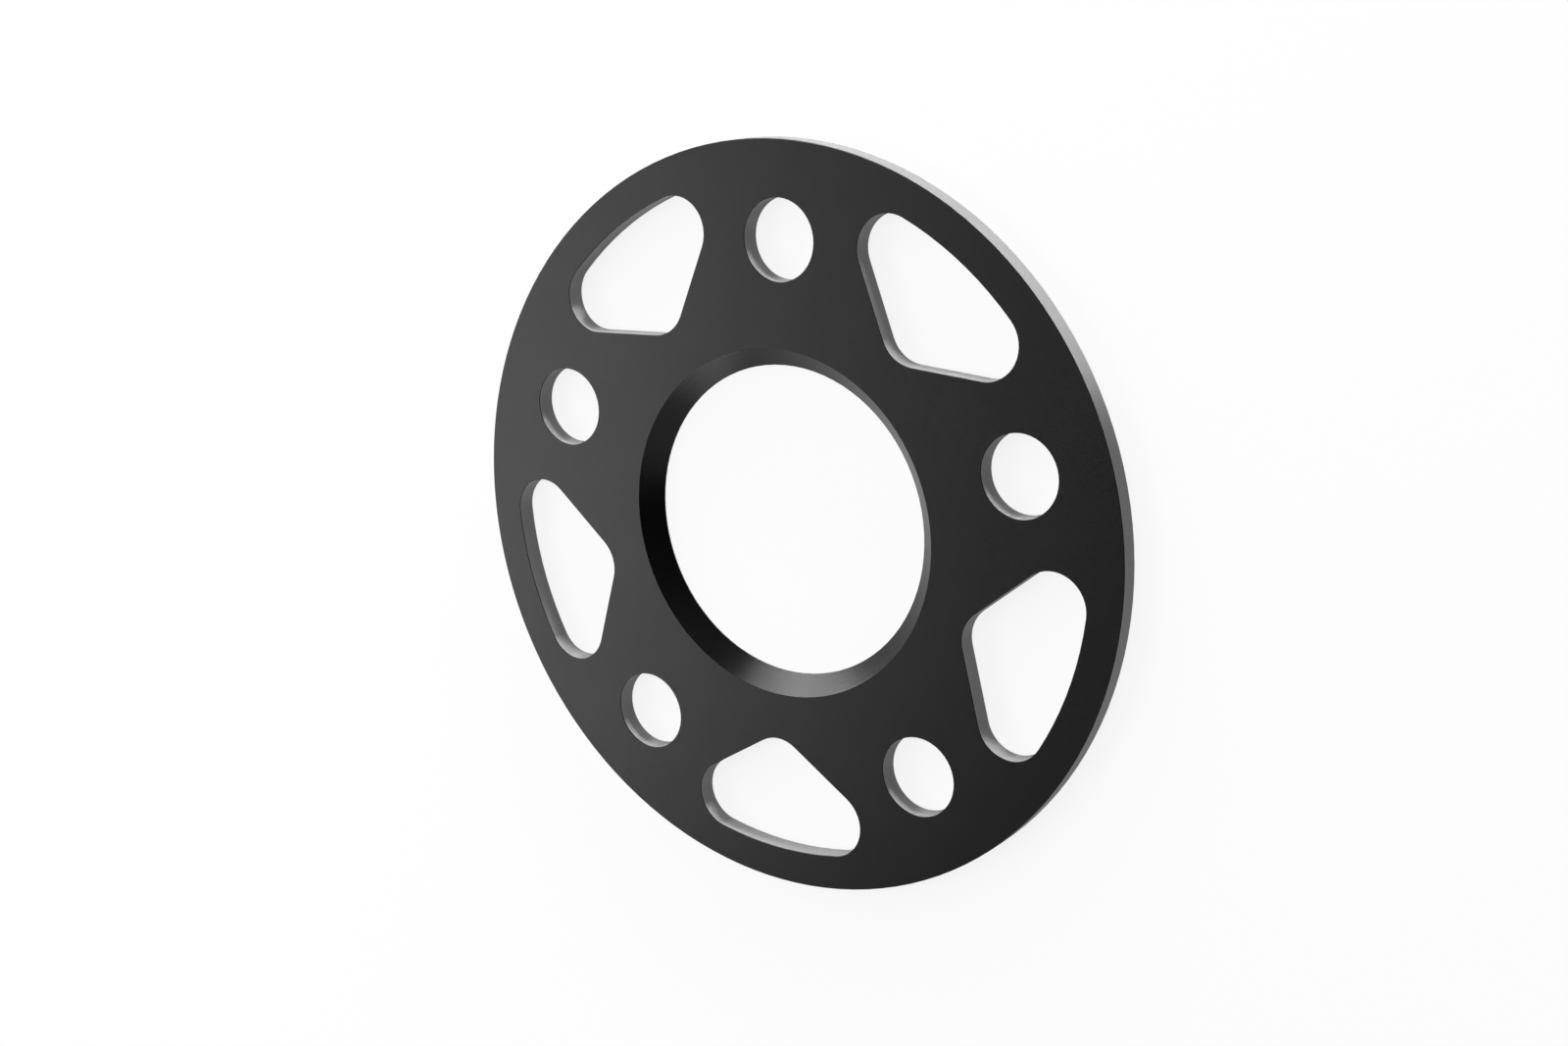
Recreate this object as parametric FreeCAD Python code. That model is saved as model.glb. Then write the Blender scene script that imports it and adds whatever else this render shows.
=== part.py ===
"""Flat wheel spacer: one disc, milled and bored from aluminium plate.

The disc goes between a wheel hub and a wheel and moves the wheel outwards by the disc's thickness.
It has five bolt holes, five lightening pockets between them and a countersunk bore. It lies on its
wheel face, which is the XY plane, and the countersink opens upwards, towards the hub. The bore's axis
is Z, and one bolt hole lies on the Y axis. All sizes are in millimetres and angles in degrees.
"""
import FreeCAD, Part
import math
import os

# The disc, and the small bevel on every milled edge of its two faces
OUTER_DIAMETER = 150.0
THICKNESS = 4.0
EDGE_BREAK = 0.1

# The bore: a short straight land at the wheel face, and above it a cone that opens to the hub face
BORE_DIAMETER = 62.4
LAND_HEIGHT = 0.2
CONE_HALF_ANGLE = 45.0

# The bolt holes, evenly spaced, with the first one on the Y axis
BOLT_COUNT = 5
BOLT_CIRCLE_DIAMETER = 112.0
BOLT_HOLE_DIAMETER = 16.0
FIRST_BOLT_ANGLE = 90.0

# The metal left round each lightening pocket, and the radius of the pocket's three corners
RIM_WIDTH = 7.0
HUB_RING_WIDTH = 9.5
BOLT_BOSS_WIDTH = 8.0
POCKET_CORNER_RADIUS = 7.0

# How far each cutter stands out of the two faces
OVERSHOOT = 1.0

OUTER_RADIUS = OUTER_DIAMETER / 2
BORE_RADIUS = BORE_DIAMETER / 2
CONE_SLOPE = math.tan(math.radians(CONE_HALF_ANGLE))
MOUTH_RADIUS = BORE_RADIUS + (THICKNESS - LAND_HEIGHT) * CONE_SLOPE
BOLT_CIRCLE_RADIUS = BOLT_CIRCLE_DIAMETER / 2
BOLT_HOLE_RADIUS = BOLT_HOLE_DIAMETER / 2
BOLT_PITCH = 360.0 / BOLT_COUNT

UP = FreeCAD.Vector(0, 0, 1)
CENTRE = FreeCAD.Vector(0, 0, 0)


def polar(radius, angle):
    """The point in the XY plane at that radius and at that angle from the X axis."""
    turn = math.radians(angle)
    return FreeCAD.Vector(radius * math.cos(turn), radius * math.sin(turn), 0)


def mirrored(point):
    """The point on the other side of the X axis."""
    return FreeCAD.Vector(point.x, -point.y, point.z)


def bolt_hole():
    """The outline of a bolt hole, on the X axis."""
    return Part.Wire([Part.Circle(polar(BOLT_CIRCLE_RADIUS, 0), UP, BOLT_HOLE_RADIUS).toShape()])


def lightening_pocket():
    """The outline of a pocket: a triangle with round corners, on the X axis, pointing at the bore.

    The side near the rim is an arc about the disc's centre, a rim width inside the rim. The other two
    are straight, and each keeps a boss width clear of the bolt hole beside it. They end in a corner
    that keeps the hub ring's width clear of the countersink's mouth.
    """
    corner = POCKET_CORNER_RADIUS
    inner_tip = polar(MOUTH_RADIUS + HUB_RING_WIDTH, 0)
    inner_centre = inner_tip + polar(corner, 0)

    # The straight side passes between the inner corner's circle and the boss round the bolt hole,
    # and touches both. Inward points from that side to the pocket's middle.
    boss_centre = polar(BOLT_CIRCLE_RADIUS, BOLT_PITCH / 2)
    boss_radius = BOLT_HOLE_RADIUS + BOLT_BOSS_WIDTH
    to_boss = boss_centre - inner_centre
    lean = math.degrees(math.acos((corner + boss_radius) / to_boss.Length))
    outward_angle = math.degrees(math.atan2(to_boss.y, to_boss.x)) + lean
    inward = polar(-1, outward_angle)
    along = polar(1, outward_angle - 90)

    # The outer corner's centre is as far from the straight side and from the arc as its radius.
    arc_radius = OUTER_RADIUS - RIM_WIDTH
    lead = inner_centre.dot(along)
    run = math.sqrt((arc_radius - corner) ** 2 - inner_centre.Length**2 + lead**2) - lead
    outer_centre = inner_centre + along * run
    outward = FreeCAD.Vector(outer_centre).normalize()

    side_start = inner_centre - inward * corner
    side_end = outer_centre - inward * corner
    corner_middle = outer_centre + (outward - inward).normalize() * corner
    arc_end = outward * arc_radius
    edges = [
        Part.Arc(mirrored(side_start), inner_tip, side_start),
        Part.LineSegment(side_start, side_end),
        Part.Arc(side_end, corner_middle, arc_end),
        Part.Arc(arc_end, polar(arc_radius, 0), mirrored(arc_end)),
        Part.Arc(mirrored(arc_end), mirrored(corner_middle), mirrored(side_end)),
        Part.LineSegment(mirrored(side_end), mirrored(side_start)),
    ]
    return Part.Wire([edge.toShape() for edge in edges])


def milled_through(outline, first_angle):
    """Cutters through the disc on one outline, one for each bolt, the first at that angle from the X axis."""
    cutter = Part.Face(outline).extrude(UP * (THICKNESS + 2 * OVERSHOOT))
    cutter.translate(UP * -OVERSHOOT)
    cutters = []
    for place in range(BOLT_COUNT):
        turned = cutter.copy()
        turned.rotate(CENTRE, UP, first_angle + place * BOLT_PITCH)
        cutters.append(turned)
    return cutters


def milled_plate():
    """The round plate with its bolt holes and pockets, and with every edge on both faces broken."""
    plate = Part.makeCylinder(OUTER_RADIUS, THICKNESS)
    holes = milled_through(bolt_hole(), FIRST_BOLT_ANGLE)
    pockets = milled_through(lightening_pocket(), FIRST_BOLT_ANGLE + BOLT_PITCH / 2)
    plate = plate.cut(holes + pockets)
    face_edges = [edge for edge in plate.Edges if edge.BoundBox.ZLength < THICKNESS / 2]
    return plate.makeChamfer(EDGE_BREAK, face_edges)


def bore_cutter():
    """The turned form of the bore: a cylinder up to the top of the land, and the countersink above it."""
    section = [
        (0, -OVERSHOOT),
        (BORE_RADIUS, -OVERSHOOT),
        (BORE_RADIUS, LAND_HEIGHT),
        (MOUTH_RADIUS + OVERSHOOT * CONE_SLOPE, THICKNESS + OVERSHOOT),
        (0, THICKNESS + OVERSHOOT),
    ]
    corners = [FreeCAD.Vector(radius, 0, height) for radius, height in section]
    return Part.Face(Part.makePolygon(corners + corners[:1])).revolve(CENTRE, UP, 360)


def spacer_disc():
    """The finished disc."""
    return milled_plate().cut(bore_cutter()).Solids[0]


os.makedirs("parts", exist_ok=True)
disc = spacer_disc()
print("spacer_disc: valid", disc.isValid(), "volume", round(disc.Volume, 1), "faces", len(disc.Faces))
disc.exportStep("parts/spacer_disc.step")
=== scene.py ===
"""The looks of a flat wheel spacer: satin black anodised aluminium on a pale studio floor.

The disc is the frame's own node and stays as it is. It lies on its wheel face at z = 0, with the
countersink up. Lengths are in metres and angles in radians, unless a name says otherwise.
"""
import math
import bpy
from bpy.props import FloatProperty, FloatVectorProperty, PointerProperty
from mathutils import Matrix, Vector


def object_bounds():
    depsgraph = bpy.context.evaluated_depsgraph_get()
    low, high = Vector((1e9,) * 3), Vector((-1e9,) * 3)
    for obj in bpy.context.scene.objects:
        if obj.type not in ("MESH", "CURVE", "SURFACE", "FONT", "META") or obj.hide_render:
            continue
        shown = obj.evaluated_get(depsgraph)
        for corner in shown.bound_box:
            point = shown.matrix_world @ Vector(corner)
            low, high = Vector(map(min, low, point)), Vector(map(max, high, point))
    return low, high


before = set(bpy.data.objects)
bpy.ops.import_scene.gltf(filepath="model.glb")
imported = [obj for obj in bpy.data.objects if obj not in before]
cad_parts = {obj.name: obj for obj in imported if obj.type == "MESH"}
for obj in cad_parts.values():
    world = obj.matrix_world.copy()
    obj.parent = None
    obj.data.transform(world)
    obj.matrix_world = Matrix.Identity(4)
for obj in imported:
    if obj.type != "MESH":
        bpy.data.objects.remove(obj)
cad_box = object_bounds()

bl_info = {
    "name": "Wheel spacer looks",
    "version": (1, 0, 0),
    "blender": (4, 5, 0),
    "location": "3D View > Sidebar > Spacer",
    "description": "Finishes a flat wheel spacer and sets a studio round it",
    "category": "Object",
}

DISC = "spacer_disc"
MILLIMETRE = 0.001

# The camera: a 50 mm lens, aimed at this point of the upper face
CAMERA_LENS = 50
CAMERA_SENSOR = 36
CAMERA_AIM = (1.37 * MILLIMETRE, 0.67 * MILLIMETRE)

# The softboxes, all at one distance from the disc and all facing it: azimuth and elevation in degrees,
# width and height in metres, and brightness as a multiple of plain white
SOFTBOX_DISTANCE = 1.2
SOFTBOXES = {
    # The upper face mirrors this one on its left side, and falls off to near black on its right
    "left_softbox": (192, 39, 0.87, 0.38, 4.85),
    # Lights the floor from above, with a soft shadow
    "overhead_softbox": (100, 66, 0.7, 0.5, 3.6),
    # The lower and the right part of the countersink mirror these two
    "far_softbox": (127, 28, 0.7, 0.55, 4.6),
    "low_softbox": (142, 10, 1.3, 0.42, 7.0),
    # Long, low and nearly level with the disc, so that the rim and the walls catch it more than the faces
    "strip_softbox": (74, 4.0, 2.3, 0.16, 34.0),
    # Keeps the near side of the rim off black, and the upper left of the countersink too
    "fill_softbox": (250, 9, 1.6, 0.42, 1.8),
    # The darkest part of the countersink fades out into this dim one
    "side_softbox": (308, 24, 1.1, 0.5, 0.5),
}

# How level a surface is, as the Z part of its normal: 0 on a wall, 0.71 on the countersink and 1 on a
# face. The finish changes from one kind of surface to the next between the two values given.
WALL_TO_CONE = (0.3, 0.6)
CONE_TO_FACE = (0.75, 0.95)

# Blender's noise runs from 0 to 1, and nearly all of it lies between these values
NOISE_RANGE = {"From Min": 0.3, "From Max": 0.7}
GRAIN_NOISE = {"Detail": 3.0, "Roughness": 0.6}
MARK_NOISE = {"Detail": 2.0, "Roughness": 0.5}
CLOUD_NOISE = {"Detail": 3.0, "Roughness": 0.55}

# How deep the grain and the tool marks are, how far the marks run along the cut for each unit up it,
# and the size of the clouds in the dye
GRAIN_DEPTH = 0.016 * MILLIMETRE
MARK_DEPTH = 0.04 * MILLIMETRE
MARK_STRETCH = 33
CLOUD_SIZE = 18 * MILLIMETRE

# The share by which the dye's colour varies, and the amount by which the roughness does
DYE_VARIATION = 0.03
ROUGHNESS_VARIATION = 0.03

# The surroundings: plain white up to the first height, as the sine of the elevation, and from the
# second height upwards this dark
WHITE_BAND = (0.1, 0.25)
STUDIO_CEILING = 0.05


def linear(hex_colour):
    """A six-digit sRGB hex colour as linear red, green and blue."""
    shares = [int(hex_colour[place:place + 2], 16) / 255 for place in (0, 2, 4)]
    return [share / 12.92 if share <= 0.04045 else ((share + 0.055) / 1.055) ** 2.4 for share in shares]


def add_node(tree, kind, inputs=None, **settings):
    """Add a node with its settings, and with a value or a link for each input named, and return it."""
    node = tree.nodes.new(kind)
    for name, value in settings.items():
        setattr(node, name, value)
    for name, value in (inputs or {}).items():
        if isinstance(value, bpy.types.NodeSocket):
            tree.links.new(value, node.inputs[name])
        else:
            node.inputs[name].default_value = value
    return node


def opaque(colour):
    """A linear colour with full alpha."""
    return (*colour, 1)


class SpacerFinish(bpy.types.PropertyGroup):
    """The finish of the disc."""

    face_colour: FloatVectorProperty(
        name="Face colour",
        description="What the two etched faces reflect head on",
        subtype="COLOR",
        default=linear("373737"),
    )
    # Painted shade: a slightly darker copy of the faces' black, so that the glossier countersink looks as
    # dark as the faces.
    cone_painted_shade_colour: FloatVectorProperty(
        name="Countersink colour",
        description="What the countersink and the broken edges reflect head on",
        subtype="COLOR",
        default=linear("313131"),
    )
    # Painted sheen: the rim and the walls are the same black anodise as the faces, and this lighter grey
    # makes them brighter than the lamps alone would. A little of it is their machined finish.
    wall_finish_and_painted_sheen_colour: FloatVectorProperty(
        name="Wall colour",
        description="What the turned rim and the milled walls reflect head on",
        subtype="COLOR",
        default=linear("848484"),
    )
    face_roughness: FloatProperty(
        name="Face roughness",
        description="Roughness of the two etched faces",
        subtype="FACTOR",
        default=0.36,
    )
    face_glare: FloatProperty(
        name="Face glare",
        description="Share of a smooth metal's glare that the etched faces give at a grazing angle",
        subtype="FACTOR",
        default=0.2,
    )
    cone_roughness: FloatProperty(
        name="Countersink roughness",
        description="Roughness of the countersink and of the broken edges",
        subtype="FACTOR",
        default=0.24,
    )
    wall_roughness: FloatProperty(
        name="Wall roughness",
        description="Roughness of the rim and the walls, before it is drawn out across the tool marks",
        subtype="FACTOR",
        default=0.5,
    )
    wall_glare: FloatProperty(
        name="Wall glare",
        description="Share of that glare that the rim, the walls and the countersink give",
        subtype="FACTOR",
        default=0.73,
    )
    wall_lay: FloatProperty(
        name="Wall lay",
        description="How much rougher the rim and the walls are across the tool marks than along them",
        subtype="FACTOR",
        default=0.95,
    )
    grain_size: FloatProperty(
        name="Grain size",
        description="Distance from one grain of the etched surface to the next",
        subtype="DISTANCE",
        unit="LENGTH",
        default=0.3 * MILLIMETRE,
    )
    mark_pitch: FloatProperty(
        name="Mark pitch",
        description="Distance from one tool mark to the next, up the walls and the countersink",
        subtype="DISTANCE",
        unit="LENGTH",
        default=0.4 * MILLIMETRE,
    )


class SpacerStage(bpy.types.PropertyGroup):
    """The studio round the disc, and the place that it is seen from."""

    floor_colour: FloatVectorProperty(
        name="Floor colour",
        description="Colour of the floor",
        subtype="COLOR",
        default=linear("fcfcfc"),
    )
    floor_width: FloatProperty(
        name="Floor width",
        description="Side of the square floor",
        subtype="DISTANCE",
        unit="LENGTH",
        default=16.0,
    )
    floor_glow: FloatProperty(
        name="Floor glow",
        description="Share of plain white that the camera and reflections see in the floor at the disc",
        subtype="FACTOR",
        default=0.86,
    )
    shadow_reach: FloatProperty(
        name="Shadow reach",
        description="Distance from the disc's axis at which the floor has become plain white",
        subtype="DISTANCE",
        unit="LENGTH",
        default=0.6,
    )
    camera_turn: FloatProperty(
        name="Camera turn",
        description="Turn of the camera to the right of the disc's axis",
        subtype="ANGLE",
        unit="ROTATION",
        default=math.radians(35.06),
    )
    camera_rise: FloatProperty(
        name="Camera rise",
        description="Angle that the camera looks from above the axis, with the first bolt hole as up",
        subtype="ANGLE",
        unit="ROTATION",
        default=math.radians(14.98),
    )
    camera_distance: FloatProperty(
        name="Camera distance",
        description="Distance from the camera to the disc's upper face, along the line of sight",
        subtype="DISTANCE",
        unit="LENGTH",
        default=0.4264,
    )


def anodised_aluminium(finish):
    """Satin black anodised aluminium, etched on its faces and left with its tool marks on its walls.

    The faces are etched before they are anodised, so they are an even, deep black with a soft sheen.
    The rim, the holes and the pockets keep the fine marks of the cutter under the same black, all in
    one direction, so they draw each lamp out into a streak from face to face. Their colour is a lighter
    grey than the faces': a little of that is their machined finish, and the rest is painted sheen. The
    countersink is turned, and is between the two: a little glossier than the faces, with a slightly
    darker colour, painted shade that keeps it as dark as the faces.
    """
    material = bpy.data.materials.new("satin_black_anodised_aluminium")
    material.use_nodes = True
    tree = material.node_tree
    tree.nodes.clear()
    place = add_node(tree, "ShaderNodeTexCoord")

    # The kind of surface, told by its slope: wall is 1 on the walls and face is 1 on the faces.
    normal = add_node(tree, "ShaderNodeSeparateXYZ", {0: place.outputs["Normal"]})
    level = add_node(tree, "ShaderNodeMath", {0: normal.outputs["Z"]}, operation="ABSOLUTE").outputs[0]
    upright = add_node(tree, "ShaderNodeMath", {0: 1.0, 1: level}, operation="SUBTRACT").outputs[0]
    wall = add_node(
        tree,
        "ShaderNodeMapRange",
        {"Value": level, "From Min": WALL_TO_CONE[1], "From Max": WALL_TO_CONE[0]},
    ).outputs["Result"]
    face = add_node(
        tree,
        "ShaderNodeMapRange",
        {"Value": level, "From Min": CONE_TO_FACE[0], "From Max": CONE_TO_FACE[1]},
    ).outputs["Result"]

    # The etched grain is really about 0.1 mm: it is drawn coarser, so that it shows at all.
    grain = add_node(
        tree,
        "ShaderNodeTexNoise",
        {"Vector": place.outputs["Object"], "Scale": 1 / finish.grain_size, **GRAIN_NOISE},
    ).outputs["Fac"]
    # Tool marks run level round the walls and the countersink, so the pattern is drawn out in X and Y.
    # They are really about 0.1 mm apart, and are drawn coarser for the same reason.
    along = add_node(
        tree,
        "ShaderNodeMapping",
        {"Vector": place.outputs["Object"], "Scale": (1 / MARK_STRETCH, 1 / MARK_STRETCH, 1.0)},
    )
    marks = add_node(
        tree,
        "ShaderNodeTexNoise",
        {"Vector": along.outputs[0], "Scale": 1 / finish.mark_pitch, **MARK_NOISE},
    ).outputs["Fac"]
    # The dye takes a little unevenly over a few centimetres.
    clouds = add_node(
        tree,
        "ShaderNodeTexNoise",
        {"Vector": place.outputs["Object"], "Scale": 1 / CLOUD_SIZE, **CLOUD_NOISE},
    ).outputs["Fac"]

    # The countersink and the broken edges take the darker cone colour, which is painted shade.
    level_dye_and_painted_shade = add_node(
        tree,
        "ShaderNodeMix",
        {0: face, 6: opaque(finish.cone_painted_shade_colour), 7: opaque(finish.face_colour)},
        data_type="RGBA",
    ).outputs[2]
    # The rim and the walls take the lighter wall colour, which is partly painted sheen.
    dye_and_painted_light = add_node(
        tree,
        "ShaderNodeMix",
        {0: wall, 6: level_dye_and_painted_shade, 7: opaque(finish.wall_finish_and_painted_sheen_colour)},
        data_type="RGBA",
    ).outputs[2]
    strength = add_node(
        tree,
        "ShaderNodeMapRange",
        {"Value": clouds, **NOISE_RANGE, "To Min": 1 - DYE_VARIATION, "To Max": 1 + DYE_VARIATION},
    ).outputs["Result"]
    colour = add_node(
        tree,
        "ShaderNodeVectorMath",
        {0: dye_and_painted_light, "Scale": strength},
        operation="SCALE",
    ).outputs[0]

    level_roughness = add_node(
        tree,
        "ShaderNodeMapRange",
        {"Value": face, "To Min": finish.cone_roughness, "To Max": finish.face_roughness},
    ).outputs["Result"]
    mean_roughness = add_node(
        tree,
        "ShaderNodeMapRange",
        {"Value": wall, "To Min": level_roughness, "To Max": finish.wall_roughness},
    ).outputs["Result"]
    speckle = add_node(
        tree,
        "ShaderNodeMapRange",
        {"Value": grain, **NOISE_RANGE, "To Min": -ROUGHNESS_VARIATION, "To Max": ROUGHNESS_VARIATION},
    ).outputs["Result"]
    roughness = add_node(
        tree,
        "ShaderNodeMath",
        {0: mean_roughness, 1: speckle},
        operation="ADD",
    ).outputs[0]

    # The walls are rougher up and down, across the marks. On the faces the direction has no effect.
    lay = add_node(tree, "ShaderNodeMath", {0: wall, 1: finish.wall_lay}, operation="MULTIPLY").outputs[0]
    across = add_node(tree, "ShaderNodeCombineXYZ", {"X": level, "Z": upright}).outputs[0]

    # The etched faces scatter the glare that a smooth metal has at a grazing angle.
    glare = add_node(
        tree,
        "ShaderNodeMapRange",
        {"Value": face, "To Min": finish.wall_glare, "To Max": finish.face_glare},
    ).outputs["Result"]

    # The grain is deepest on the faces, and the tool marks on the walls.
    etched = add_node(
        tree,
        "ShaderNodeBump",
        {"Height": grain, "Strength": level, "Distance": GRAIN_DEPTH},
    )
    cut = add_node(
        tree,
        "ShaderNodeBump",
        {
            "Height": marks,
            "Strength": upright,
            "Distance": MARK_DEPTH,
            "Normal": etched.outputs["Normal"],
        },
    )
    shader = add_node(
        tree,
        "ShaderNodeBsdfPrincipled",
        {
            "Base Color": colour,
            "Metallic": 1.0,
            "Specular Tint": glare,
            "Roughness": roughness,
            "Anisotropic": lay,
            "Tangent": across,
            "Normal": cut.outputs["Normal"],
        },
    )
    add_node(tree, "ShaderNodeOutputMaterial", {"Surface": shader.outputs["BSDF"]})
    return material


class OBJECT_OT_spacer_finish(bpy.types.Operator):
    """Give the disc its anodised finish"""

    bl_idname = "object.spacer_finish"
    bl_label = "Finish the disc"

    def execute(self, context):
        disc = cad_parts[DISC]
        disc.data.materials.clear()
        disc.data.materials.append(anodised_aluminium(context.scene.spacer_finish))
        return {"FINISHED"}


def pale_floor(stage):
    """A matt white floor that the camera and the reflections see a share of as plain white."""
    material = bpy.data.materials.new("matt_white_floor")
    material.use_nodes = True
    tree = material.node_tree
    tree.nodes.clear()
    path = add_node(tree, "ShaderNodeLightPath")
    seen = path.outputs["Is Camera Ray"]
    for ray in ("Is Glossy Ray", "Is Transmission Ray"):
        either = add_node(tree, "ShaderNodeMath", {0: seen, 1: path.outputs[ray]}, operation="MAXIMUM")
        seen = either.outputs[0]
    place = add_node(tree, "ShaderNodeTexCoord")
    away = add_node(tree, "ShaderNodeVectorMath", {0: place.outputs["Object"]}, operation="LENGTH")
    glow = add_node(
        tree,
        "ShaderNodeMapRange",
        {
            "Value": away.outputs["Value"],
            "From Min": cad_box[1].x,
            "From Max": stage.shadow_reach,
            "To Min": stage.floor_glow,
            "To Max": 1.0,
        },
    )
    share = add_node(tree, "ShaderNodeMath", {0: seen, 1: glow.outputs["Result"]}, operation="MULTIPLY")
    matt = add_node(tree, "ShaderNodeBsdfDiffuse", {"Color": opaque(stage.floor_colour)})
    white = add_node(tree, "ShaderNodeEmission", {"Strength": 1.0})
    mixed = add_node(
        tree,
        "ShaderNodeMixShader",
        {0: share.outputs[0], 1: matt.outputs[0], 2: white.outputs[0]},
    )
    add_node(tree, "ShaderNodeOutputMaterial", {"Surface": mixed.outputs[0]})
    return material


def studio_world():
    """A dark studio with a white band low round it, so that the disc mirrors no light from overhead."""
    world = bpy.data.worlds.new("dark_studio")
    world.use_nodes = True
    tree = world.node_tree
    tree.nodes.clear()
    direction = add_node(tree, "ShaderNodeTexCoord")
    height = add_node(tree, "ShaderNodeSeparateXYZ", {0: direction.outputs["Generated"]})
    white, dark = WHITE_BAND
    band = add_node(
        tree,
        "ShaderNodeMapRange",
        {
            "Value": height.outputs["Z"],
            "From Min": white,
            "From Max": dark,
            "To Min": 1.0,
            "To Max": STUDIO_CEILING,
        },
        interpolation_type="SMOOTHSTEP",
    )
    background = add_node(
        tree,
        "ShaderNodeBackground",
        {"Color": opaque((1, 1, 1)), "Strength": band.outputs["Result"]},
    )
    add_node(tree, "ShaderNodeOutputWorld", {"Surface": background.outputs[0]})
    return world


def towards(azimuth, elevation, distance):
    """The point at that azimuth from the X axis and that elevation above the floor, in degrees."""
    turn, rise = math.radians(azimuth), math.radians(elevation)
    level = math.cos(rise)
    return Vector((math.cos(turn) * level, math.sin(turn) * level, math.sin(rise))) * distance


def add_softbox(name, azimuth, elevation, width, height, brightness):
    """Add a softbox that faces the disc, with its brightness given as a multiple of plain white."""
    data = bpy.data.lights.new(name, "AREA")
    data.shape = "RECTANGLE"
    data.size = width
    data.size_y = height
    # A lamp of pi watts for each square metre looks plain white.
    data.energy = brightness * math.pi * width * height
    softbox = bpy.data.objects.new(name, data)
    bpy.context.scene.collection.objects.link(softbox)
    softbox.location = towards(azimuth, elevation, SOFTBOX_DISTANCE)
    softbox.rotation_mode = "QUATERNION"
    softbox.rotation_quaternion = (-softbox.location).to_track_quat("-Z", "Y")
    softbox.visible_camera = False


def add_camera(stage):
    """Add the camera, which looks down on the disc from the side that the photograph shows."""
    data = bpy.data.cameras.new("camera")
    data.lens = CAMERA_LENS
    data.sensor_width = CAMERA_SENSOR
    data.clip_start = 10 * MILLIMETRE
    camera = bpy.data.objects.new("camera", data)
    bpy.context.scene.collection.objects.link(camera)
    facing = Matrix.Rotation(stage.camera_turn, 3, "Y") @ Matrix.Rotation(-stage.camera_rise, 3, "X")
    camera.rotation_mode = "QUATERNION"
    camera.rotation_quaternion = facing.to_quaternion()
    top = Vector((*CAMERA_AIM, cad_box[1].z))
    camera.location = top + facing @ Vector((0, 0, stage.camera_distance))
    bpy.context.scene.camera = camera


class OBJECT_OT_spacer_stage(bpy.types.Operator):
    """Set the floor, the softboxes, the surroundings and the camera"""

    bl_idname = "object.spacer_stage"
    bl_label = "Set the stage"

    def execute(self, context):
        stage = context.scene.spacer_stage
        bpy.ops.object.select_all(action="DESELECT")
        bpy.ops.mesh.primitive_plane_add(size=stage.floor_width)
        floor = context.object
        floor.name = "floor"
        floor.data.materials.append(pale_floor(stage))
        for name, softbox in SOFTBOXES.items():
            add_softbox(name, *softbox)
        context.scene.world = studio_world()
        context.scene.view_settings.view_transform = "Standard"
        add_camera(stage)
        return {"FINISHED"}


class VIEW3D_PT_spacer(bpy.types.Panel):
    """The spacer's operators and their settings"""

    bl_label = "Wheel spacer"
    bl_space_type = "VIEW_3D"
    bl_region_type = "UI"
    bl_category = "Spacer"

    def draw(self, context):
        for name, group in PROPERTIES.items():
            for setting in group.__annotations__:
                self.layout.prop(getattr(context.scene, name), setting)
        for operator in OPERATORS:
            self.layout.operator(operator.bl_idname)


PROPERTIES = {"spacer_finish": SpacerFinish, "spacer_stage": SpacerStage}
OPERATORS = (OBJECT_OT_spacer_finish, OBJECT_OT_spacer_stage)
CLASSES = (*PROPERTIES.values(), *OPERATORS, VIEW3D_PT_spacer)


def register():
    for each in CLASSES:
        bpy.utils.register_class(each)
    for name, group in PROPERTIES.items():
        setattr(bpy.types.Scene, name, PointerProperty(type=group))


def unregister():
    for name in PROPERTIES:
        delattr(bpy.types.Scene, name)
    for each in reversed(CLASSES):
        bpy.utils.unregister_class(each)


def main():
    register()
    bpy.ops.object.spacer_finish()
    bpy.ops.object.spacer_stage()


if __name__ == "__main__":
    main()
